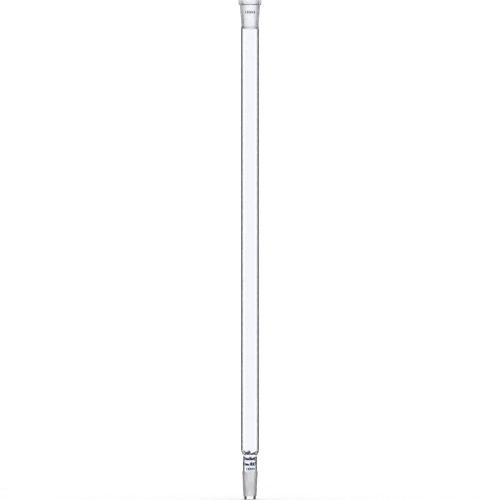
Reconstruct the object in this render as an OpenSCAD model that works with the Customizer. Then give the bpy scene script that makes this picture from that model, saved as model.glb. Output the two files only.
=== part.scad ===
// Packed distilling column in borosilicate glass: a plain tube with a ground socket at the top,
// and a ground cone, a drip end and three rows of packing thorns at the bottom.
// The axis is Z, up. Z = 0 is the gauge plane of the cone, where its ground taper is widest.

/* [Column tube] */
// Outside diameter of the column tube
tube_od = 17; // [16.5:0.1:18]
// Wall thickness of the column tube
tube_wall = 1.2; // [1.1:0.1:1.5]
// Length of the plain tube between its two welds
tube_len = 393; // [93:1:593]

/* [Ground joints] */
// Diameter of both ground tapers at their large end
joint_d = 14.5; // [14.4:0.1:14.6]
// Length of the ground taper on the cone
joint_len = 23; // [20:1:26]
// Extra depth of the ground taper in the socket
socket_extra = 1; // [0.5:0.1:1.5]

/* [Socket] */
// Outside diameter of the rim bead
rim_od = 21.7; // [21:0.1:23]
// Outside diameter of the socket under the rim bead
socket_top_od = 19.4; // [19:0.1:20]
// Outside diameter of the socket at its narrow end
socket_low_od = 16.3; // [15.8:0.1:16.4]
// Height of the rim bead
rim_h = 5.5; // [4.6:0.1:6]

/* [Neck] */
// Outside diameter of the neck between the shoulder and the cone
neck_od = 13.4; // [13:0.1:13.8]
// Wall thickness of the neck
neck_wall = 1.2; // [1.1:0.1:1.5]
// Length of the straight neck
neck_len = 13.4; // [13:0.1:15]
// Height over which the shoulder widens to the column tube
shoulder_h = 6; // [5:0.1:7]

/* [Packing thorns] */
// Thorns in a row
thorns_per_row = 3; // [2:1:4]
// Height of the lowest row where it leaves the wall
thorn_low_z = 7.6; // [7.4:0.1:8.2]
// Height from one row to the next
thorn_pitch = 5.1; // [5:0.1:5.3]
// Angle by which each row is turned from the one below
thorn_twist = 12.5; // [0:0.5:60]
// Slope of a thorn below the horizontal
thorn_tilt = 12; // [8:1:20]
// Radius of a thorn at its round tip
thorn_tip_r = 0.9; // [0.8:0.05:1]
// Distance from the column's axis to the centre of the round tip
thorn_reach = 1.5; // [1.5:0.1:2]
// Wall thickness of a thorn
thorn_wall = 0.65; // [0.4:0.05:0.7]

/* [Cone and drip end] */
// Wall thickness of the cone at its large end
cone_wall = 1.8; // [1.6:0.1:2]
// Outside diameter of the drip end
drip_od = 11; // [10.8:0.1:11.4]
// Wall thickness of the drip end
drip_wall = 0.9; // [0.8:0.1:1]
// Length of the drip end
drip_len = 3; // [2.6:0.1:10]

/* [Size marks] */
// Width of the mark on the socket
socket_mark_w = 9.4; // [8:0.1:10]
// Width of the mark on the neck
neck_mark_w = 7.6; // [6:0.1:8]
// Height of both marks
mark_h = 2.3; // [2:0.1:2.5]

/* [Hidden] */
$fn = 96;
fine_steps = 8;

// Standard ground joints narrow by 1 in 10 of their diameter.
taper = 1 / 20;
joint_r = joint_d / 2;

// The flame draws the shoulder's radius in by this much below the tube's weld.
weld_draw = 0.06;

// Radii of the plain lengths
tube_r = tube_od / 2;
tube_bore_r = tube_r - tube_wall;
neck_r = neck_od / 2;
neck_bore_r = neck_r - neck_wall;
shoulder_r = tube_r - weld_draw;
drip_r = drip_od / 2;
drip_bore_r = drip_r - drip_wall;

// Thorns. The top row leaves the wall at the shoulder, and the tube's weld is above it.
top_row = 2;
top_row_z = thorn_low_z + top_row * thorn_pitch;
first_thorn_turn = -45;
thorn_flare = 7;
thorn_overrun = 4;
weld_gap = 2.8;

// Heights, from the gauge plane of the cone
cone_low_z = -joint_len;
drip_low_z = cone_low_z - drip_len;
collar_h = 0.8;
neck_low_z = collar_h;
shoulder_low_z = neck_low_z + neck_len;
shoulder_top_z = shoulder_low_z + shoulder_h;
tube_low_z = max(shoulder_top_z, top_row_z) + weld_gap;
tube_top_z = tube_low_z + tube_len;
socket_flare_h = 3.2;
socket_low_z = tube_top_z + socket_flare_h;
socket_mouth_z = socket_low_z + joint_len + socket_extra;
lip_h = 1;
rim_top_z = socket_mouth_z + lip_h;
rim_low_z = rim_top_z - rim_h;

// Radii that follow from the tapers
cone_low_r = joint_r - joint_len * taper;
socket_low_bore_r = joint_r - (joint_len + socket_extra) * taper;
socket_low_r = socket_low_od / 2;
socket_top_r = socket_top_od / 2;

// Enamel. The marks' heights are those of their middles.
enamel = 0.08;
socket_mark_drop = 6.9;
socket_mark_z = rim_low_z - socket_mark_drop;
neck_mark_rise = 2;
neck_mark_z = neck_low_z + neck_mark_rise;
neck_mark_turn = 5;
mark_bars = [[0, 0.1], [0.19, 0.37], [0.43, 0.61], [0.67, 0.8], [0.86, 1]];

glass_colour = [0.86, 0.92, 0.95, 0.45];
ground_colour = [0.85, 0.85, 0.86, 0.9];
enamel_colour = [0.35, 0.37, 0.42];

// A smooth step from 0 to 1
function ease(t) = (1 - cos(180 * t)) / 2;

// Radius of the socket's outside at height z, along its straight taper
function socket_r(z) =
    socket_low_r + (socket_top_r - socket_low_r) * (z - socket_low_z) / (rim_low_z - socket_low_z);

// Radius of the socket's ground bore at height z
function socket_bore_r(z) = joint_r - (socket_mouth_z - z) * taper;

// Outside radius of the neck and shoulder at height z, below the weld
function neck_out_r(z) =
    neck_r + (shoulder_r - neck_r) * ease(min(1, max(0, (z - shoulder_low_z) / shoulder_h)));

// Points [radius, height] of a smooth change of radius
function swell(r0, z0, r1, z1) =
    [for (i = [0 : fine_steps]) [r0 + (r1 - r0) * ease(i / fine_steps), z0 + (z1 - z0) * i / fine_steps]];

// Points [radius, height] of an arc in the section plane
function arc(r, z, size, from, to) =
    [for (i = [0 : fine_steps])
        let (a = from + (to - from) * i / fine_steps) [r + size * cos(a), z + size * sin(a)]];

neck_outside = concat(
    [[neck_r, neck_low_z]],
    swell(neck_r, shoulder_low_z, shoulder_r, shoulder_top_z),
    [[tube_r, tube_low_z]]
);
neck_bore = concat(
    [[tube_bore_r, tube_low_z]],
    swell(tube_bore_r, shoulder_top_z, neck_bore_r, shoulder_low_z),
    [[neck_bore_r, neck_low_z]]
);

module revolve(outline) {
    rotate_extrude() polygon(outline);
}

// One thorn's round-ended taper, thinner by wall all over, from beyond the outer wall to its tip
module thorn_form(z, turn, wall) {
    run = (neck_r - thorn_reach) / cos(thorn_tilt);
    total = run + thorn_overrun;
    rotate([0, 0, turn])
        translate([thorn_reach, 0, z - run * sin(thorn_tilt)])
            rotate([0, 90 - thorn_tilt, 0]) {
                cylinder(h = total, r1 = thorn_tip_r - wall,
                    r2 = thorn_tip_r - wall + total * tan(thorn_flare));
                sphere(r = thorn_tip_r - wall);
            }
}

// All thorns of a row, as forms that a wall thickness makes smaller
module thorn_row_forms(row, wall) {
    for (i = [0 : thorns_per_row - 1])
        thorn_form(thorn_low_z + row * thorn_pitch,
            first_thorn_turn + row * thorn_twist + i * 360 / thorns_per_row, wall);
}

// A row of hollow thorns, open to the outside as dents in the wall are
module thorn_row(row) {
    color(glass_colour)
        difference() {
            intersection() {
                revolve(concat([[0, neck_low_z]], neck_outside, [[0, tube_low_z]]));
                thorn_row_forms(row, 0);
            }
            thorn_row_forms(row, thorn_wall);
        }
}

// A row of plain enamel bars on a wall that goes from radius low_r to high_r over the mark's height
module size_mark(z, low_r, high_r, width, turn) {
    color(enamel_colour)
        rotate([0, 0, turn])
            for (bar = mark_bars)
                intersection() {
                    revolve([
                        [low_r, z - mark_h / 2], [low_r + enamel, z - mark_h / 2],
                        [high_r + enamel, z + mark_h / 2], [high_r, z + mark_h / 2]
                    ]);
                    translate([(bar[0] - 0.5) * width, -2 * tube_r, z - mark_h])
                        cube([(bar[1] - bar[0]) * width, 2 * tube_r, 2 * mark_h]);
                }
}

module drip_end() {
    lip_r = drip_wall / 2;
    color(glass_colour)
        revolve(concat(
            [[drip_bore_r, cone_low_z]],
            arc(drip_r - lip_r, drip_low_z + lip_r, lip_r, 180, 360),
            [[drip_r, cone_low_z]]
        ));
}

module cone_joint() {
    color(ground_colour)
        revolve(concat(
            [[drip_bore_r, cone_low_z], [cone_low_r, cone_low_z], [joint_r, 0]],
            swell(joint_r, collar_h / 4, neck_r, collar_h),
            [[neck_bore_r, collar_h], [joint_r - cone_wall, 0]]
        ));
}

module indented_neck() {
    color(glass_colour)
        difference() {
            revolve(concat(neck_outside, neck_bore));
            for (row = [0 : top_row])
                thorn_row_forms(row, 0);
        }
}

module column_tube() {
    color(glass_colour)
        translate([0, 0, tube_low_z])
            difference() {
                cylinder(h = tube_len, r = tube_r);
                translate([0, 0, -1])
                    cylinder(h = tube_len + 2, r = tube_bore_r);
            }
}

module socket_joint() {
    color(ground_colour)
        revolve(concat(
            swell(tube_r, tube_top_z, socket_low_r, socket_low_z),
            [[socket_top_r, rim_low_z], [socket_bore_r(rim_low_z), rim_low_z]],
            swell(socket_low_bore_r, socket_low_z, tube_bore_r, tube_top_z)
        ));
}

module socket_rim() {
    bead_r = rim_od / 2;
    bulge = bead_r - socket_top_r;
    edge = 0.9;
    color(glass_colour)
        revolve(concat(
            [[socket_bore_r(rim_low_z), rim_low_z]],
            arc(socket_top_r, rim_low_z + bulge, bulge, -90, 0),
            arc(bead_r - edge, rim_top_z - edge, edge, 0, 90),
            arc(joint_r + lip_h, rim_top_z - lip_h, lip_h, 90, 180)
        ));
}

module neck_size_mark() size_mark(neck_mark_z, neck_r, neck_r, neck_mark_w, neck_mark_turn);

module socket_size_mark() {
    size_mark(socket_mark_z, socket_r(socket_mark_z - mark_h / 2),
        socket_r(socket_mark_z + mark_h / 2), socket_mark_w, 0);
}

drip_end();
cone_joint();
neck_size_mark();
indented_neck();
thorn_row(0);  // thorns_bottom_row
thorn_row(1);  // thorns_middle_row
thorn_row(2);  // thorns_top_row
column_tube();
socket_joint();
socket_size_mark();
socket_rim();
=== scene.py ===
"""A packed distilling column in borosilicate glass, lit as a product picture on white.

Every node is rebuilt as a fine mesh with its own skins: clear, ground, enamelled, and a seam skin where
two nodes are welded. A weld is one piece of glass, so its seam is fully see-through.
"""
import math

import bmesh
import bpy
import numpy as np
from mathutils import Matrix, Vector

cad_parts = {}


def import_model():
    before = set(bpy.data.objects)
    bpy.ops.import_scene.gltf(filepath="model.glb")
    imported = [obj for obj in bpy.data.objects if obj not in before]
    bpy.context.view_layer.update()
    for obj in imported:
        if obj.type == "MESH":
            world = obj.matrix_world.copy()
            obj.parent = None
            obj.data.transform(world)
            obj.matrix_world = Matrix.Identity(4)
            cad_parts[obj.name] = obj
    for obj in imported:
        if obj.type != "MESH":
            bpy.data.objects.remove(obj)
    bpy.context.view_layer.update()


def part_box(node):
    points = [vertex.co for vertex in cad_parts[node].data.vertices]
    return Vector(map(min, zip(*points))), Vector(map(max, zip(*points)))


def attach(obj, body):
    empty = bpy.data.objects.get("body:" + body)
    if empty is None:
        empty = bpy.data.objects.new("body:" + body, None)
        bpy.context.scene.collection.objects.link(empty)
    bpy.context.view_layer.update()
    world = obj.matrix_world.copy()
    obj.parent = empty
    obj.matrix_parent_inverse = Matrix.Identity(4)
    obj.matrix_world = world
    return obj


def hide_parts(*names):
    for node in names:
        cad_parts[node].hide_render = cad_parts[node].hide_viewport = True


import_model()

MM = 0.001

# Glass, in millimetres. Heights and outer sizes come from the frame's boxes.
TUBE_WALL = 1.2
NECK_WALL = 1.2
CONE_WALL = 1.8
DRIP_WALL = 0.9
JOINT_R = 7.25
TAPER = 1 / 20
NECK_OD = 13.4
SHOULDER_H = 6.0
WELD_GAP = 2.8
WELD_DRAW = 0.06
COLLAR_H = 0.8
SOCKET_LOW_R = 8.15
SOCKET_TOP_R = 9.7
SOCKET_FLARE_H = 3.2
SOCKET_LIP_H = 1.0
RIM_EDGE = 0.9

# Thorns
THORN_ROWS = ("thorns_bottom_row", "thorns_middle_row", "thorns_top_row")
THORNS_PER_ROW = 3
THORN_TURN = -45
THORN_TWIST = 12.5
THORN_LOW_Z = 7.6
THORN_PITCH = 5.1
THORN_TILT = math.radians(12)
THORN_TIP_R = 0.9
THORN_REACH = 1.5
THORN_WALL = 0.65
THORN_FLARE = math.radians(7)
THORN_OVERRUN = 3.5
MOUTH_FLARE = 0.4
MOUTH_DEPTH = 2.5

AROUND = 192
FINE = 12


def low(node):
    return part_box(node)[0] / MM


def high(node):
    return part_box(node)[1] / MM


TUBE_R = high("column_tube").x
TUBE_BORE_R = TUBE_R - TUBE_WALL
NECK_R = NECK_OD / 2
NECK_BORE_R = NECK_R - NECK_WALL
SHOULDER_R = TUBE_R - WELD_DRAW
DRIP_R = high("drip_end").x
DRIP_BORE_R = DRIP_R - DRIP_WALL
DRIP_LOW_Z = low("drip_end").z
CONE_LOW_Z = low("cone_joint").z
CONE_LOW_R = JOINT_R + CONE_LOW_Z * TAPER
NECK_LOW_Z = low("indented_neck").z
TUBE_LOW_Z = low("column_tube").z
TUBE_TOP_Z = high("column_tube").z
SHOULDER_TOP_Z = TUBE_LOW_Z - WELD_GAP
SHOULDER_LOW_Z = SHOULDER_TOP_Z - SHOULDER_H
SOCKET_LOW_Z = TUBE_TOP_Z + SOCKET_FLARE_H
RIM_LOW_Z = low("socket_rim").z
RIM_TOP_Z = high("socket_rim").z
RIM_R = high("socket_rim").x
MOUTH_Z = RIM_TOP_Z - SOCKET_LIP_H


# ---------------------------------------------------------------- outlines of turned glass

def ease(t):
    return (1 - math.cos(math.pi * min(1.0, max(0.0, t)))) / 2


def swell(r0, z0, r1, z1, steps=FINE):
    """Points of a smooth change of radius."""
    return [(r0 + (r1 - r0) * ease(i / steps), z0 + (z1 - z0) * i / steps) for i in range(steps + 1)]


def arc(r, z, size, start, end, steps=FINE):
    """Points of an arc in the section plane, from start to end degrees."""
    turns = [math.radians(start + (end - start) * i / steps) for i in range(steps + 1)]
    return [(r + size * math.cos(a), z + size * math.sin(a)) for a in turns]


def socket_bore_r(z):
    """Radius of the socket's ground bore."""
    return JOINT_R - (MOUTH_Z - z) * TAPER


def neck_out_r(z):
    """Outside radius of the neck and shoulder below the weld."""
    if z > SHOULDER_TOP_Z:
        return SHOULDER_R + (TUBE_R - SHOULDER_R) * ease((z - SHOULDER_TOP_Z) / WELD_GAP)
    return NECK_R + (SHOULDER_R - NECK_R) * ease((z - SHOULDER_LOW_Z) / SHOULDER_H)


def neck_in_r(z):
    """Radius of the bore of the neck and shoulder."""
    return NECK_BORE_R + (TUBE_BORE_R - NECK_BORE_R) * ease((z - SHOULDER_LOW_Z) / SHOULDER_H)


# ---------------------------------------------------------------- meshes

SKINS = ("outside", "socket", "crease", "neck", "neck_bore", "drip", "bore", "cone", "socket_bore",
         "enamel", "worn_enamel", "seam")


def turned(name, stretches):
    """A closed revolved mesh. Each stretch is (skin, points) and starts where the one before ends."""
    section = []
    skins = []
    for skin, points in stretches:
        for r, z in points:
            if section and math.dist(section[-1], (r, z)) < 1e-6:
                continue
            if section:
                skins.append(skin)
            section.append((r, z))
    if math.dist(section[0], section[-1]) < 1e-6:
        section.pop()
    else:
        skins.append(stretches[0][0])
    mesh = bpy.data.meshes.new(name)
    bm = bmesh.new()
    rings = []
    for r, z in section:
        turns = [2 * math.pi * i / AROUND for i in range(AROUND)]
        rings.append([bm.verts.new((r * math.cos(a), r * math.sin(a), z)) for a in turns])
    for k, skin in enumerate(skins):
        ring = rings[k]
        following = rings[(k + 1) % len(rings)]
        for i in range(AROUND):
            j = (i + 1) % AROUND
            face = bm.faces.new((ring[i], ring[j], following[j], following[i]))
            face.material_index = SKINS.index(skin)
            face.smooth = True
    bmesh.ops.recalc_face_normals(bm, faces=bm.faces)
    bm.to_mesh(mesh)
    bm.free()
    return mesh


def sharpen(mesh, degrees=40):
    """Smooth shading, broken at corners and where the skin changes."""
    bm = bmesh.new()
    bm.from_mesh(mesh)
    for face in bm.faces:
        face.smooth = True
    for edge in bm.edges:
        faces = edge.link_faces
        corner = len(faces) != 2 or edge.calc_face_angle(0) > math.radians(degrees)
        edge.smooth = not (corner or faces[0].material_index != faces[1].material_index)
    bm.to_mesh(mesh)
    bm.free()


def drip_end_mesh():
    lip = DRIP_WALL / 2
    return turned("drip_end", [
        ("bore", [(DRIP_BORE_R, CONE_LOW_Z), (DRIP_BORE_R, DRIP_LOW_Z + lip)]),
        ("drip", arc(DRIP_R - lip, DRIP_LOW_Z + lip, lip, 180, 360)),
        ("drip", [(DRIP_R, DRIP_LOW_Z + lip), (DRIP_R, CONE_LOW_Z)]),
        ("seam", [(DRIP_R, CONE_LOW_Z), (DRIP_BORE_R, CONE_LOW_Z)]),
    ])


def cone_joint_mesh():
    return turned("cone_joint", [
        ("seam", [(DRIP_BORE_R, CONE_LOW_Z), (DRIP_R, CONE_LOW_Z)]),
        ("cone", [(DRIP_R, CONE_LOW_Z), (CONE_LOW_R, CONE_LOW_Z), (JOINT_R, 0)]),
        ("outside", swell(JOINT_R, COLLAR_H / 4, NECK_R, COLLAR_H)),
        ("seam", [(NECK_R, COLLAR_H), (NECK_BORE_R, COLLAR_H)]),
        ("bore", [(NECK_BORE_R, COLLAR_H), (JOINT_R - CONE_WALL, 0), (DRIP_BORE_R, CONE_LOW_Z)]),
    ])


def column_tube_mesh():
    return turned("column_tube", [
        ("outside", [(TUBE_R, TUBE_LOW_Z), (TUBE_R, TUBE_TOP_Z)]),
        ("seam", [(TUBE_R, TUBE_TOP_Z), (TUBE_BORE_R, TUBE_TOP_Z)]),
        ("bore", [(TUBE_BORE_R, TUBE_TOP_Z), (TUBE_BORE_R, TUBE_LOW_Z)]),
        ("seam", [(TUBE_BORE_R, TUBE_LOW_Z), (TUBE_R, TUBE_LOW_Z)]),
    ])


def socket_joint_mesh():
    rim_bore_r = socket_bore_r(RIM_LOW_Z)
    low_bore_r = socket_bore_r(SOCKET_LOW_Z)
    return turned("socket_joint", [
        ("outside", swell(TUBE_R, TUBE_TOP_Z, SOCKET_LOW_R, SOCKET_LOW_Z)),
        ("socket", [(SOCKET_LOW_R, SOCKET_LOW_Z), (SOCKET_TOP_R, RIM_LOW_Z)]),
        ("seam", [(SOCKET_TOP_R, RIM_LOW_Z), (rim_bore_r, RIM_LOW_Z)]),
        ("socket_bore", [(rim_bore_r, RIM_LOW_Z), (low_bore_r, SOCKET_LOW_Z)]),
        ("socket_bore", swell(low_bore_r, SOCKET_LOW_Z, TUBE_BORE_R, TUBE_TOP_Z)),
        ("seam", [(TUBE_BORE_R, TUBE_TOP_Z), (TUBE_R, TUBE_TOP_Z)]),
    ])


def socket_rim_mesh():
    rim_bore_r = socket_bore_r(RIM_LOW_Z)
    bulge = RIM_R - SOCKET_TOP_R
    lip = SOCKET_LIP_H
    return turned("socket_rim", [
        ("seam", [(rim_bore_r, RIM_LOW_Z), (SOCKET_TOP_R, RIM_LOW_Z)]),
        # The underside of the bead carries painted shade: the dark line under the bead
        ("crease", arc(SOCKET_TOP_R, RIM_LOW_Z + bulge, bulge, -90, -20)),
        ("socket", arc(SOCKET_TOP_R, RIM_LOW_Z + bulge, bulge, -20, 0)),
        ("socket", arc(RIM_R - RIM_EDGE, RIM_TOP_Z - RIM_EDGE, RIM_EDGE, 0, 90)),
        ("socket", arc(JOINT_R + lip, RIM_TOP_Z - lip, lip, 90, 180)),
        ("socket_bore", [(JOINT_R, MOUTH_Z), (rim_bore_r, RIM_LOW_Z)]),
    ])


# ---------------------------------------------------------------- size marks

ENAMEL = 0.08
MARK_H = 2.3
MARK_BARS = ((0, 0.1), (0.19, 0.37), (0.43, 0.61), (0.67, 0.8), (0.86, 1))
BAR_STEPS = 16
BAR_CORNER = 0.25
NECK_MARK_Z = NECK_LOW_Z + 2
NECK_MARK_W = 7.6
NECK_MARK_TURN = math.radians(5)
SOCKET_MARK_Z = RIM_LOW_Z - 6.9
SOCKET_MARK_W = 9.4


def socket_out_r(z):
    """Outside radius of the socket along its straight taper."""
    share = (z - SOCKET_LOW_Z) / (RIM_LOW_Z - SOCKET_LOW_Z)
    return SOCKET_LOW_R + (SOCKET_TOP_R - SOCKET_LOW_R) * share


def add_bar(bm, x0, x1, middle_z, wall_r, turn):
    """A thin curved bar with rounded corners, lying on a wall of radius wall_r(z)."""
    sections = []
    for i in range(BAR_STEPS + 1):
        x = x0 + (x1 - x0) * ease(i / BAR_STEPS)
        inward = max(0.0, BAR_CORNER - min(x - x0, x1 - x))
        half = MARK_H / 2 - BAR_CORNER + math.sqrt(BAR_CORNER ** 2 - min(BAR_CORNER, inward) ** 2)
        section = []
        for side, lift in ((-1, 0), (-1, ENAMEL), (1, ENAMEL), (1, 0)):
            z = middle_z + side * half
            r = wall_r(z) + lift
            y = -math.sqrt(r * r - x * x)
            section.append(bm.verts.new((x * math.cos(turn) - y * math.sin(turn),
                                         x * math.sin(turn) + y * math.cos(turn), z)))
        sections.append(section)
    bm.faces.new(sections[0])
    bm.faces.new(reversed(sections[-1]))
    for here, following in zip(sections, sections[1:]):
        for i in range(4):
            j = (i + 1) % 4
            bm.faces.new((here[j], here[i], following[i], following[j]))


def size_mark(name, middle_z, wall_r, width, turn, skin):
    """A row of plain bars where the real column has its printed size."""
    bm = bmesh.new()
    for start, end in MARK_BARS:
        add_bar(bm, (start - 0.5) * width, (end - 0.5) * width, middle_z, wall_r, turn)
    bmesh.ops.recalc_face_normals(bm, faces=bm.faces)
    for face in bm.faces:
        face.material_index = SKINS.index(skin)
    return made(name, bm)


# ---------------------------------------------------------------- neck with thorns

VOXEL = 0.17
END_SPARE = 1.5
SEAM_MARGIN = 0.35
SLIVER = 0.01
FLAP_AREA = 0.0004
HOLE_SIDES = 8
AXIS_GAP = 0.001
SOFT_PASSES = 6

# The plain wall is put back on its radii from this far outside a thorn, over this width.
TRUE_FROM = 0.5
TRUE_OVER = 0.7
WALL_REACH = 0.4
PAST_TIP = 2
FAR = 1e9
ROUND_STEPS = 48


def thorn_axis(row, place):
    """(tip, direction out along the axis, distance from the tip to the neck's radius) of one thorn."""
    z = THORN_LOW_Z + row * THORN_PITCH
    turn = math.radians(THORN_TURN + row * THORN_TWIST + place * 360 / THORNS_PER_ROW)
    run = (NECK_R - THORN_REACH) / math.cos(THORN_TILT)
    outward = Vector((math.cos(turn), math.sin(turn), 0))
    tip = outward * THORN_REACH + Vector((0, 0, z - run * math.sin(THORN_TILT)))
    direction = outward * math.cos(THORN_TILT) + Vector((0, 0, math.sin(THORN_TILT)))
    return tip, direction, run


def thorn_r(along, run):
    """Outside radius of a thorn at a distance along its axis from its tip's centre."""
    mouth = ease((along - run + MOUTH_DEPTH) / MOUTH_DEPTH)
    return THORN_TIP_R + along * math.tan(THORN_FLARE) + MOUTH_FLARE * mouth


def thorn_form(bm, row, place, wall, held_in=None):
    """Adds one round-ended taper, thinner by wall. held_in keeps it that far inside the outer wall."""
    tip, direction, run = thorn_axis(row, place)
    length = run + THORN_OVERRUN
    tip_r = THORN_TIP_R - wall
    turn = direction.to_track_quat("Z", "Y").to_matrix().to_4x4()
    to_place = Matrix.Translation(tip) @ turn
    section = [(tip_r * math.sin(a), -tip_r * math.cos(a))
               for a in (math.pi / 2 * i / FINE for i in range(1, FINE + 1))]
    body_steps = 4 * FINE
    section += [(thorn_r(length * i / body_steps, run) - wall, length * i / body_steps)
                for i in range(1, body_steps + 1)]

    def put(x, y, z):
        point = to_place @ Vector((x, y, z))
        if held_in is not None:
            r = math.hypot(point.x, point.y)
            most = neck_out_r(point.z) - held_in
            if r > most:
                point.x *= most / r
                point.y *= most / r
        return bm.verts.new(point)

    start = put(0, 0, -tip_r)
    end = put(0, 0, length)
    rings = []
    for r, z in section:
        turns = [2 * math.pi * i / ROUND_STEPS for i in range(ROUND_STEPS)]
        rings.append([put(r * math.cos(a), r * math.sin(a), z) for a in turns])
    for i in range(ROUND_STEPS):
        j = (i + 1) % ROUND_STEPS
        bm.faces.new((start, rings[0][j], rings[0][i]))
        bm.faces.new((end, rings[-1][i], rings[-1][j]))
        for ring, following in zip(rings, rings[1:]):
            bm.faces.new((ring[i], ring[j], following[j], following[i]))


def thorn_forms(name, rows, wall, held_in=None, skin="outside"):
    """An object with the forms of all thorns in rows."""
    bm = bmesh.new()
    for row in rows:
        for place in range(THORNS_PER_ROW):
            thorn_form(bm, row, place, wall, held_in)
    for face in bm.faces:
        face.material_index = SKINS.index(skin)
    return made(name, bm)


def made(name, bm):
    mesh = bpy.data.meshes.new(name)
    bm.to_mesh(mesh)
    bm.free()
    return placed(name, mesh)


def give_skins(mesh):
    for skin in SKINS:
        mesh.materials.append(skin_material[skin])


def placed(name, mesh):
    give_skins(mesh)
    obj = bpy.data.objects.new(name, mesh)
    bpy.context.scene.collection.objects.link(obj)
    return obj


def applied(obj, kind, **settings):
    """obj with one modifier applied."""
    modifier = obj.modifiers.new(kind.lower(), kind)
    for key, value in settings.items():
        setattr(modifier, key, value)
    graph = bpy.context.evaluated_depsgraph_get()
    mesh = bpy.data.meshes.new_from_object(obj.evaluated_get(graph), depsgraph=graph)
    obj.modifiers.clear()
    obj.data = mesh
    return obj


def cut(obj, cutter, operation):
    return applied(obj, "BOOLEAN", object=cutter, operation=operation, solver="EXACT",
                   material_mode="INDEX")


def neck_section(spare):
    """Outline of the neck's wall, longer by spare at both ends, so that the ends can be cut clean."""
    steps = 4 * FINE
    heights = [NECK_LOW_Z - spare + (TUBE_LOW_Z - NECK_LOW_Z + 2 * spare) * i / steps
               for i in range(steps + 1)]
    outside = [(min(TUBE_R, neck_out_r(z)), z) for z in heights]
    bore = [(neck_in_r(z), z) for z in reversed(heights)]
    return outside, bore


def trued(mesh):
    """Puts the plain wall back on its exact radii, and leaves the soft forms round the thorns."""
    axes = [thorn_axis(row, place) for row in range(len(THORN_ROWS)) for place in range(THORNS_PER_ROW)]
    co = np.empty(len(mesh.vertices) * 3)
    mesh.vertices.foreach_get("co", co)
    co = co.reshape(-1, 3)
    away = np.full(len(co), FAR)
    for tip, direction, _ in axes:
        along = (co - np.array(tip)) @ np.array(direction)
        across = np.linalg.norm(co - np.array(tip) - np.outer(along, np.array(direction)), axis=1)
        size = THORN_TIP_R + MOUTH_FLARE + np.maximum(along, 0) * math.tan(THORN_FLARE)
        away = np.minimum(away, np.where(along > -PAST_TIP, across - size, FAR))
    share = np.clip((away - TRUE_FROM) / TRUE_OVER, 0, 1)
    share = share * share * (3 - 2 * share)
    r = np.hypot(co[:, 0], co[:, 1])
    outer = np.array([min(TUBE_R, neck_out_r(z)) for z in co[:, 2]])
    inner = np.array([neck_in_r(z) for z in co[:, 2]])
    target = np.where(np.abs(r - outer) < np.abs(r - inner), outer, inner)
    near = np.minimum(np.abs(r - outer), np.abs(r - inner)) < WALL_REACH
    scale = 1 + np.where(near, share, 0) * (target / np.maximum(r, 1e-9) - 1)
    co[:, :2] *= scale[:, None]
    mesh.vertices.foreach_set("co", co.ravel())
    mesh.update()


def tell_skins_apart(mesh):
    """Faces that the wall's outside leads to without crossing a seam are neck, and the rest neck_bore."""
    bm = bmesh.new()
    bm.from_mesh(mesh)
    seam = SKINS.index("seam")
    start = max((f for f in bm.faces if f.material_index != seam),
                key=lambda f: math.hypot(*f.calc_center_median()[:2]))
    for face in bm.faces:
        if face.material_index != seam:
            face.material_index = SKINS.index("neck_bore")
    start.material_index = SKINS.index("neck")
    front = [start]
    while front:
        face = front.pop()
        for edge in face.edges:
            for other in edge.link_faces:
                if other.material_index == SKINS.index("neck_bore"):
                    other.material_index = SKINS.index("neck")
                    front.append(other)
    bm.to_mesh(mesh)
    bm.free()


def without_slivers(mesh):
    """Closes up the hair-thin faces that cutting leaves, and the small flaps and holes beside them."""
    bm = bmesh.new()
    bm.from_mesh(mesh)
    bmesh.ops.remove_doubles(bm, verts=bm.verts, dist=SLIVER)
    bmesh.ops.dissolve_degenerate(bm, edges=bm.edges, dist=SLIVER)
    bmesh.ops.triangulate(bm, faces=[face for face in bm.faces if len(face.verts) > 4])
    flaps = {face for edge in bm.edges if len(edge.link_faces) > 2
             for face in edge.link_faces if face.calc_area() < FLAP_AREA}
    bmesh.ops.delete(bm, geom=list(flaps), context="FACES_ONLY")
    bmesh.ops.holes_fill(bm, edges=[edge for edge in bm.edges if edge.is_boundary], sides=HOLE_SIDES)
    bm.to_mesh(mesh)
    bm.free()


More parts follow.
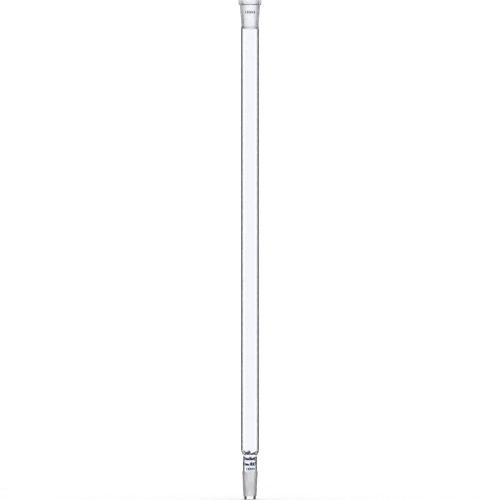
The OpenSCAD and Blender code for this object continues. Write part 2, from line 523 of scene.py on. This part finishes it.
def neck_and_thorns():
    """Objects of the indented neck and of each thorn row, cut from one soft-edged glass form."""
    rows = range(len(THORN_ROWS))
    outside, bore = neck_section(END_SPARE)
    glass = placed("indented_neck", turned("wall", [
        ("outside", outside),
        ("seam", [outside[-1], bore[0]]),
        ("bore", bore),
        ("seam", [bore[-1], outside[0]]),
    ]))
    forms = thorn_forms("thorn_forms", rows, 0, held_in=NECK_WALL / 3)
    bm = bmesh.new()
    bm.from_mesh(glass.data)
    bm.from_mesh(forms.data)
    bm.to_mesh(glass.data)
    bm.free()
    dents = thorn_forms("thorn_dents", rows, THORN_WALL)
    applied(glass, "REMESH", mode="VOXEL", voxel_size=VOXEL, adaptivity=0)
    cut(glass, dents, "DIFFERENCE")
    applied(glass, "REMESH", mode="VOXEL", voxel_size=VOXEL, adaptivity=0)
    applied(glass, "SMOOTH", factor=0.5, iterations=SOFT_PASSES)
    trued(glass.data)
    glass.data.materials.clear()
    give_skins(glass.data)
    slab = placed("slab", turned("slab", [
        ("seam", [(AXIS_GAP, NECK_LOW_Z), (2 * TUBE_R, NECK_LOW_Z), (2 * TUBE_R, TUBE_LOW_Z),
                  (AXIS_GAP, TUBE_LOW_Z), (AXIS_GAP, NECK_LOW_Z)]),
    ]))
    cut(glass, slab, "INTERSECT")
    tell_skins_apart(glass.data)
    pieces = []
    spares = [forms, dents, slab]
    for row, name in enumerate(THORN_ROWS):
        cutter = thorn_forms("cutter", [row], -SEAM_MARGIN, skin="seam")
        thorns = bpy.data.objects.new(name, glass.data.copy())
        bpy.context.scene.collection.objects.link(thorns)
        pieces.append((name, cut(thorns, cutter, "INTERSECT")))
        cut(glass, cutter, "DIFFERENCE")
        spares.append(cutter)
    for spare in spares:
        bpy.data.objects.remove(spare)
    pieces.append(("indented_neck", glass))
    for _, piece in pieces:
        without_slivers(piece.data)
    return pieces


# ---------------------------------------------------------------- materials

IOR = 1.473
GLASS_TINT = (0.972, 0.980, 1.0, 1)
NECK_TINT = (0.955, 0.965, 1.0, 1)
# Painted shade: the colour of the thorns
THORN_PAINTED_SHADE = (0.10, 0.10, 0.15, 1)
# Edge-on range of the painted shade on the walls
WALL_EDGE = (0.58, 0.68)
THORN_EDGE = (0.02, 0.36)
THORN_SHADE = (0.78, 0.96)
# Edge-on range of the painted shade on the drip end
DRIP_EDGE = (0.12, 0.22)
# Painted shade: the colour of glass walls where they are seen edge-on
PAINTED_EDGE_SHADE = (0, 0, 0, 1)
# Painted shade on the thorns' faces that are seen edge-on
THORN_EDGE_PAINTED_SHADE = (0.01, 0.01, 0.03, 1)
# Painted shade, lighter: the colour of the socket and bead where they are seen edge-on
SOCKET_EDGE_PAINTED_SHADE = (0.80, 0.81, 0.84, 1)
# Painted shade: the colour all over the crease under the rim bead
CREASE_PAINTED_SHADE = (0.05, 0.05, 0.07, 1)
# Edge-on range of the painted shade on the ground cone
CONE_EDGE = (0.12, 0.80)
CONE_LIGHT = (0.84, 0.83, 0.83, 1)
CONE_DARK = (0.66, 0.65, 0.65, 1)
# Edge-on range of the painted shade on the ground socket bore
SOCKET_BORE_EDGE = (0.7, 0.95)
SOCKET_LIGHT = (1.0, 1.0, 1.0, 1)
SOCKET_DARK = (0.94, 0.95, 1.0, 1)
# Painted shade: the colour of ground glass where it is seen edge-on
GROUND_EDGE_PAINTED_SHADE = (0.14, 0.14, 0.15, 1)
ENAMEL_DARK = (0.006, 0.008, 0.03, 1)
ENAMEL_LIGHT = (0.10, 0.11, 0.14, 1)
WORN_ENAMEL_DARK = (0.16, 0.17, 0.20, 1)
WORN_ENAMEL_LIGHT = (0.55, 0.56, 0.60, 1)
CONE_HAZE = (0.42, 0.62)
SOCKET_HAZE = (0.36, 0.52)
CREASE_EDGE = (0, 0.1)

# Grain, in features per millimetre, and its depth in millimetres
DRAWN_GRAIN = 0.35
DRAWN_STRETCH = (1, 1, 0.02)
DRAWN_DEPTH = 0.004
PATCH_GRAIN = 0.25
PATCH_STRETCH = (1, 1, 0.4)
PIT_GRAIN = 8
WEAR_GRAIN = 1.2
ENAMEL_GRAIN = 10
GRAIN_DEPTH = 0.01


def new_material(name):
    material = bpy.data.materials.new(name)
    material.use_nodes = True
    return material, material.node_tree, material.node_tree.nodes["Principled BSDF"]


def object_noise(tree, scale, stretch=(1, 1, 1), detail=3.0):
    """Noise in the object's own space, which is in metres. scale is in features per millimetre."""
    coordinates = tree.nodes.new("ShaderNodeTexCoord")
    mapping = tree.nodes.new("ShaderNodeMapping")
    mapping.inputs["Scale"].default_value = [scale * part / MM for part in stretch]
    noise = tree.nodes.new("ShaderNodeTexNoise")
    noise.inputs["Scale"].default_value = 1
    noise.inputs["Detail"].default_value = detail
    tree.links.new(coordinates.outputs["Object"], mapping.inputs["Vector"])
    tree.links.new(mapping.outputs["Vector"], noise.inputs["Vector"])
    return noise.outputs["Fac"]


def ramp_between(tree, value, start, end, start_level, end_level):
    """A level that eases from one to another as value goes from start to end."""
    ramp = tree.nodes.new("ShaderNodeMapRange")
    ramp.interpolation_type = "SMOOTHSTEP"
    ramp.inputs["From Min"].default_value = start
    ramp.inputs["From Max"].default_value = end
    ramp.inputs["To Min"].default_value = start_level
    ramp.inputs["To Max"].default_value = end_level
    tree.links.new(value, ramp.inputs["Value"])
    return ramp.outputs["Result"]


def combined(tree, operation, a, b):
    node = tree.nodes.new("ShaderNodeMath")
    node.operation = operation
    tree.links.new(a, node.inputs[0])
    tree.links.new(b, node.inputs[1])
    return node.outputs[0]


def larger(tree, a, b):
    return combined(tree, "MAXIMUM", a, b)


def product(tree, a, b):
    return combined(tree, "MULTIPLY", a, b)


def bumped(tree, shader, height, depth, strength=1.0):
    """A bump of a depth in millimetres."""
    bump = tree.nodes.new("ShaderNodeBump")
    bump.inputs["Strength"].default_value = strength
    bump.inputs["Distance"].default_value = depth * MM
    tree.links.new(height, bump.inputs["Height"])
    tree.links.new(bump.outputs["Normal"], shader.inputs["Normal"])


def two_colours(tree, value, start, end, first, second):
    """A colour that goes from first to second as value goes from start to end."""
    ramp = tree.nodes.new("ShaderNodeValToRGB")
    ramp.color_ramp.elements[0].position = start
    ramp.color_ramp.elements[0].color = first
    ramp.color_ramp.elements[1].position = end
    ramp.color_ramp.elements[1].color = second
    tree.links.new(value, ramp.inputs["Fac"])
    return ramp.outputs["Color"]


def mixed(tree, share, first, second, blend="MIX"):
    """Colour between first and second. second may be a plain colour."""
    mix = tree.nodes.new("ShaderNodeMix")
    mix.data_type = "RGBA"
    mix.blend_type = blend
    tree.links.new(share, mix.inputs["Factor"])
    tree.links.new(first, mix.inputs["A"])
    if isinstance(second, tuple):
        mix.inputs["B"].default_value = second
    else:
        tree.links.new(second, mix.inputs["B"])
    return mix.outputs["Result"]


def glass_shader(name):
    material, tree, shader = new_material(name)
    shader.inputs["Base Color"].default_value = GLASS_TINT
    shader.inputs["Transmission Weight"].default_value = 1
    shader.inputs["IOR"].default_value = IOR
    shader.inputs["Roughness"].default_value = 0
    return material, tree, shader


def edge_on(tree):
    """0 where the surface is seen face-on, 1 where it is seen edge-on."""
    weight = tree.nodes.new("ShaderNodeLayerWeight")
    weight.inputs["Blend"].default_value = 0.5
    return weight.outputs["Facing"]


def drawn_figure(tree, shader):
    """Drawn tube is very slightly uneven round its girth, and almost even along its length."""
    bumped(tree, shader, object_noise(tree, DRAWN_GRAIN, DRAWN_STRETCH), DRAWN_DEPTH)


def outside_material(name, painted_edge_shade=PAINTED_EDGE_SHADE, edge=WALL_EDGE, body=GLASS_TINT):
    """Clear glass with painted shade: its colour goes dark where its wall is seen edge-on."""
    material, tree, shader = glass_shader(name)
    colour = two_colours(tree, edge_on(tree), *edge, body, painted_edge_shade)
    tree.links.new(colour, shader.inputs["Base Color"])
    drawn_figure(tree, shader)
    return material


def axis_distance_and_height(tree):
    """Distance from the column's axis, and height, in metres."""
    coordinates = tree.nodes.new("ShaderNodeTexCoord")
    split = tree.nodes.new("ShaderNodeSeparateXYZ")
    flat = tree.nodes.new("ShaderNodeVectorMath")
    flat.operation = "MULTIPLY"
    flat.inputs[1].default_value = (1, 1, 0)
    length = tree.nodes.new("ShaderNodeVectorMath")
    length.operation = "LENGTH"
    tree.links.new(coordinates.outputs["Object"], flat.inputs[0])
    tree.links.new(flat.outputs["Vector"], length.inputs[0])
    tree.links.new(coordinates.outputs["Object"], split.inputs[0])
    return length.outputs["Value"], split.outputs["Z"]


def neck_material(name, painted_rim_shade):
    """The wall is like the tube's, and bluer further down. The thorns get painted shade, darker still
    where they are seen edge-on.
    """
    material, tree, shader = glass_shader(name)
    distance, height = axis_distance_and_height(tree)
    bore = ramp_between(tree, height, SHOULDER_LOW_Z * MM, SHOULDER_TOP_Z * MM,
                        NECK_BORE_R * MM, TUBE_BORE_R * MM)
    # Where the painted thorn shade goes: faces nearer the axis than the bore's wall
    inside = ramp_between(tree, combined(tree, "DIVIDE", distance, bore), *THORN_SHADE, 1, 0)
    below = ramp_between(tree, height, SHOULDER_LOW_Z * MM, TUBE_LOW_Z * MM, 1, 0)
    # Painted shade on the wall where it is seen edge-on
    wall = two_colours(tree, edge_on(tree), *WALL_EDGE, GLASS_TINT, painted_rim_shade)
    # Painted shade on the thorns, darkest where they are seen edge-on
    thorn = two_colours(tree, edge_on(tree), *THORN_EDGE, THORN_PAINTED_SHADE, THORN_EDGE_PAINTED_SHADE)
    colour = mixed(tree, below, mixed(tree, inside, wall, thorn), NECK_TINT, "MULTIPLY")
    tree.links.new(colour, shader.inputs["Base Color"])
    drawn_figure(tree, shader)
    return material


def bore_material():
    material, tree, shader = glass_shader("clear_bore")
    drawn_figure(tree, shader)
    return material


def ground_material(name, edge, light, dark, haze):
    """Ground glass: fine pits that differ in size, so both its haze and its grey are uneven. It gets
    painted shade where it is seen edge-on.
    """
    material, tree, shader = glass_shader(name)
    patches = object_noise(tree, PATCH_GRAIN, PATCH_STRETCH)
    grey = two_colours(tree, patches, 0.35, 0.65, light, dark)
    colour = mixed(tree, ramp_between(tree, edge_on(tree), *edge, 0, 1), grey, GROUND_EDGE_PAINTED_SHADE)
    tree.links.new(colour, shader.inputs["Base Color"])
    tree.links.new(ramp_between(tree, patches, 0.3, 0.7, *haze), shader.inputs["Roughness"])
    bumped(tree, shader, object_noise(tree, PIT_GRAIN), GRAIN_DEPTH, 0.6)
    return material


def enamel_material(name, dark, light):
    """Fired enamel, thinner and greyer in places, with a satin grain."""
    material, tree, shader = new_material(name)
    worn = object_noise(tree, WEAR_GRAIN)
    colour = two_colours(tree, worn, 0.4, 0.7, dark, light)
    tree.links.new(colour, shader.inputs["Base Color"])
    tree.links.new(ramp_between(tree, worn, 0.3, 0.7, 0.35, 0.6), shader.inputs["Roughness"])
    bumped(tree, shader, object_noise(tree, ENAMEL_GRAIN), GRAIN_DEPTH, 0.5)
    return material


def seam_material():
    material, _, shader = new_material("weld_seam")
    shader.inputs["Alpha"].default_value = 0
    return material


skin_material = {
    # Clear glass with painted shade on its edge-on walls
    "outside": outside_material("clear_glass"),
    # Socket and bead glass with light painted shade where seen edge-on
    "socket": outside_material("socket_glass", SOCKET_EDGE_PAINTED_SHADE),
    # Painted shade on the neck's outside where it is seen edge-on, as on the tube
    "neck": neck_material("neck_glass", PAINTED_EDGE_SHADE),
    "neck_bore": neck_material("neck_bore", GLASS_TINT),
    # Drip glass with painted shade where it is seen edge-on
    "drip": outside_material("drip_glass", edge=DRIP_EDGE),
    "bore": bore_material(),
    # Painted shade under the rim bead
    "crease": outside_material("crease_painted_shade", CREASE_PAINTED_SHADE, CREASE_EDGE, CREASE_PAINTED_SHADE),
    "cone": ground_material("ground_cone", CONE_EDGE, CONE_LIGHT, CONE_DARK, CONE_HAZE),
    "socket_bore": ground_material("ground_socket", SOCKET_BORE_EDGE, SOCKET_LIGHT, SOCKET_DARK,
                                   SOCKET_HAZE),
    "enamel": enamel_material("mark_enamel", ENAMEL_DARK, ENAMEL_LIGHT),
    "worn_enamel": enamel_material("worn_enamel", WORN_ENAMEL_DARK, WORN_ENAMEL_LIGHT),
    "seam": seam_material(),
}


# ---------------------------------------------------------------- pieces

def keep_used_skins(mesh):
    """Leaves out the skins that none of the mesh's faces has."""
    skins = [face.material_index for face in mesh.polygons]
    used = sorted(set(skins))
    mesh.materials.clear()
    for skin in used:
        mesh.materials.append(skin_material[SKINS[skin]])
    mesh.polygons.foreach_set("material_index", [used.index(skin) for skin in skins])


def finished(obj, node):
    """Takes a piece from millimetres to metres, and has it stand for its CAD node."""
    obj.name = node + "_fine"
    keep_used_skins(obj.data)
    obj.data.transform(Matrix.Scale(MM, 4))
    sharpen(obj.data)
    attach(obj, "root")
    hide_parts(node)


finished(placed("drip_end", drip_end_mesh()), "drip_end")
finished(placed("cone_joint", cone_joint_mesh()), "cone_joint")
finished(placed("column_tube", column_tube_mesh()), "column_tube")
finished(placed("socket_joint", socket_joint_mesh()), "socket_joint")
finished(placed("socket_rim", socket_rim_mesh()), "socket_rim")

for node, piece in neck_and_thorns():
    finished(piece, node)

finished(size_mark("neck_size_mark", NECK_MARK_Z, lambda z: NECK_R, NECK_MARK_W, NECK_MARK_TURN,
                   "enamel"), "neck_size_mark")
finished(size_mark("socket_size_mark", SOCKET_MARK_Z, socket_out_r, SOCKET_MARK_W, 0,
                   "worn_enamel"), "socket_size_mark")


# ---------------------------------------------------------------- stage, light and camera

# Camera, in millimetres
LENS = 900
SENSOR_W = 36
PICTURE_H = 470
PICTURE_BELOW_CONE = 3.52
CLIP_END_M = 200

# Stage and light. Edges are angles in degrees over which a light fades.
BOUNCES = 32
FLOOR_R_M = 0.6
FLOOR_COLOUR = (0.97, 0.97, 0.97, 1)
BACKDROP = 1.1
SURROUND = 0.01
OVERHEAD = 2.85
BOARD_EDGE = (27, 17)
SOFTBOX_EDGE = (48, 60)
SWEEP_EDGE = (-4, -9)
BOARD_TOP = (28, 38)


def floor():
    mesh = bpy.data.meshes.new("floor")
    bm = bmesh.new()
    bmesh.ops.create_circle(bm, cap_ends=True, radius=FLOOR_R_M, segments=AROUND)
    bmesh.ops.translate(bm, verts=bm.verts, vec=(0, 0, DRIP_LOW_Z * MM))
    bm.to_mesh(mesh)
    bm.free()
    obj = bpy.data.objects.new("floor", mesh)
    bpy.context.scene.collection.objects.link(obj)
    material, _, shader = new_material("floor")
    shader.inputs["Base Color"].default_value = FLOOR_COLOUR
    shader.inputs["Roughness"].default_value = 1
    shader.inputs["Specular IOR Level"].default_value = 0
    mesh.materials.append(material)


def world():
    """A white board behind the object, one beside it, a soft light overhead, and a dim room between."""
    sky = bpy.data.worlds.new("studio")
    bpy.context.scene.world = sky
    sky.use_nodes = True
    tree = sky.node_tree
    background = tree.nodes["Background"]
    coordinates = tree.nodes.new("ShaderNodeTexCoord")
    split = tree.nodes.new("ShaderNodeSeparateXYZ")
    tree.links.new(coordinates.outputs["Generated"], split.inputs[0])
    left = tree.nodes.new("ShaderNodeMath")
    left.operation = "MULTIPLY"
    left.inputs[1].default_value = -1
    tree.links.new(split.outputs["X"], left.inputs[0])
    boards = larger(tree, split.outputs["Y"], left.outputs[0])
    boards = ramp_between(tree, boards, *(math.cos(math.radians(a)) for a in BOARD_EDGE),
                          SURROUND, BACKDROP)
    height = split.outputs["Z"]
    board_share = ramp_between(tree, height, *(math.sin(math.radians(a)) for a in BOARD_TOP), 1, 0)
    boards = product(tree, boards, board_share)
    softbox = ramp_between(tree, height, *(math.sin(math.radians(a)) for a in SOFTBOX_EDGE), 0, OVERHEAD)
    sweep = ramp_between(tree, height, *(math.sin(math.radians(a)) for a in SWEEP_EDGE), 0, BACKDROP)
    tree.links.new(larger(tree, boards, larger(tree, softbox, sweep)), background.inputs["Color"])


def camera():
    """A long lens, level with the middle of the column."""
    data = bpy.data.cameras.new("camera")
    data.sensor_width = SENSOR_W
    data.lens = LENS
    data.clip_end = CLIP_END_M
    obj = bpy.data.objects.new("camera", data)
    bpy.context.scene.collection.objects.link(obj)
    distance = PICTURE_H * data.lens / data.sensor_width
    middle_z = CONE_LOW_Z - PICTURE_BELOW_CONE + PICTURE_H / 2
    obj.location = (0, -distance * MM, middle_z * MM)
    obj.rotation_euler = (math.pi / 2, 0, 0)
    bpy.context.scene.camera = obj


floor()
world()
camera()
scene = bpy.context.scene
scene.view_settings.view_transform = "Standard"
scene.cycles.max_bounces = BOUNCES
scene.cycles.transmission_bounces = BOUNCES
scene.cycles.transparent_max_bounces = BOUNCES
